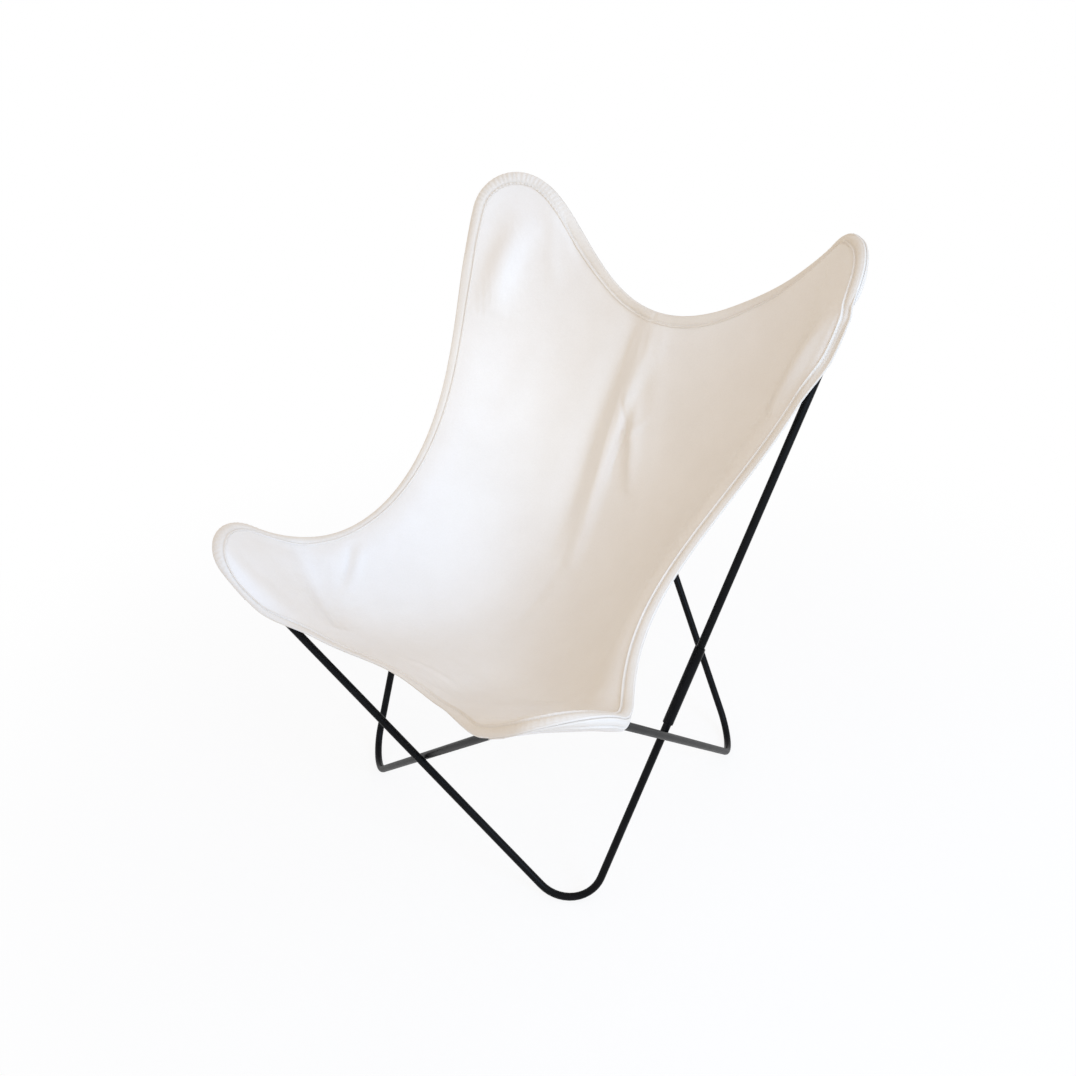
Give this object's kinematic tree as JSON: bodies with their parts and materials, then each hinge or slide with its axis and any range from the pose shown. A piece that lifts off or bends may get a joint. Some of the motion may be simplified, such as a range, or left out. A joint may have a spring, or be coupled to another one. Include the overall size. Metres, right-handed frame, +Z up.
{
  "type": "butterfly sling chair",
  "caption": "Low lounge chair: a cloth sling hung by corner pockets on a crossed steel-rod frame whose back rods meet the lower rods inside sliding sleeves.",
  "frame": {"origin": "on the floor, under the middle of the bounding box", "axes": "+Z up, -Y the way the sitter faces, +X to the right of someone who looks at the chair's front"},
  "size_m": [0.7724, 0.738, 0.8915],
  "materials": {
    "frame_rod": "satin black powder coat",
    "frame_sleeve": "satin black powder coat",
    "canvas": "close-woven off-white canvas with a slight sheen",
    "canvas_pocket": "close-woven off-white canvas"
  },
  "bodies": {
    "frame_and_sling": {"lower_rod_right": "frame_rod", "lower_rod_left": "frame_rod", "back_rod_left": "frame_rod", "back_rod_right": "frame_rod", "sling_panel": "canvas", "pocket_front_left": "canvas_pocket", "pocket_front_right": "canvas_pocket", "pocket_back_left": "canvas_pocket", "pocket_back_right": "canvas_pocket"},
    "left_side_sleeve": {"sleeve_left_side": "frame_sleeve"},
    "left_rear_sleeve": {"sleeve_left_rear": "frame_sleeve"},
    "right_side_sleeve": {"sleeve_right_side": "frame_sleeve"},
    "right_rear_sleeve": {"sleeve_right_rear": "frame_sleeve"}
  },
  "joints": [
    {"name": "left_side_sleeve_slide", "type": "slide", "parent": "frame_and_sling", "child": "left_side_sleeve", "axis": [-0.0963, 0.4791, 0.8725], "range_m": [0, 0.07]},
    {"name": "left_rear_sleeve_slide", "type": "slide", "parent": "frame_and_sling", "child": "left_rear_sleeve", "axis": [-0.4873, 0.103, 0.8671], "range_m": [0, 0.07]},
    {"name": "right_side_sleeve_slide", "type": "slide", "parent": "frame_and_sling", "child": "right_side_sleeve", "axis": [0.0963, 0.4791, 0.8725], "range_m": [0, 0.07]},
    {"name": "right_rear_sleeve_slide", "type": "slide", "parent": "frame_and_sling", "child": "right_rear_sleeve", "axis": [0.4873, 0.103, 0.8671], "range_m": [0, 0.07]}
  ]
}
